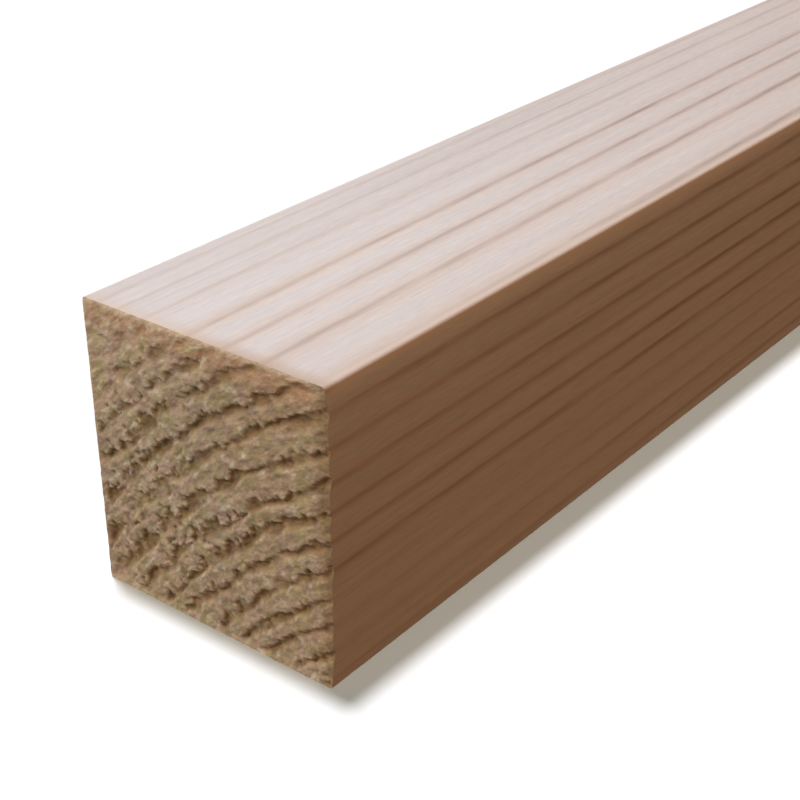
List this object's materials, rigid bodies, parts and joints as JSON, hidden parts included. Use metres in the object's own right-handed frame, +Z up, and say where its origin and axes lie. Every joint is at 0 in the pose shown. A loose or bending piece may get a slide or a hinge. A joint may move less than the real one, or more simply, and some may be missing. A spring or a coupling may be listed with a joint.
{
  "type": "planed timber batten",
  "caption": "Straight length of planed softwood of near-square section, with lightly eased arrises and rough crosscut ends, for framing and general carpentry.",
  "frame": {"origin": "under the middle of the bed face, on the surface that the batten lies on", "axes": "+X along the grain towards the end that the picture cuts off, +Y across to the far side face, +Z up"},
  "size_m": [1.8, 0.047, 0.05],
  "materials": {
    "planed_softwood": "planed and unfinished on the long faces, rough sawn on the ends"
  },
  "bodies": {
    "root": {"batten": "planed_softwood"}
  },
  "joints": []
}
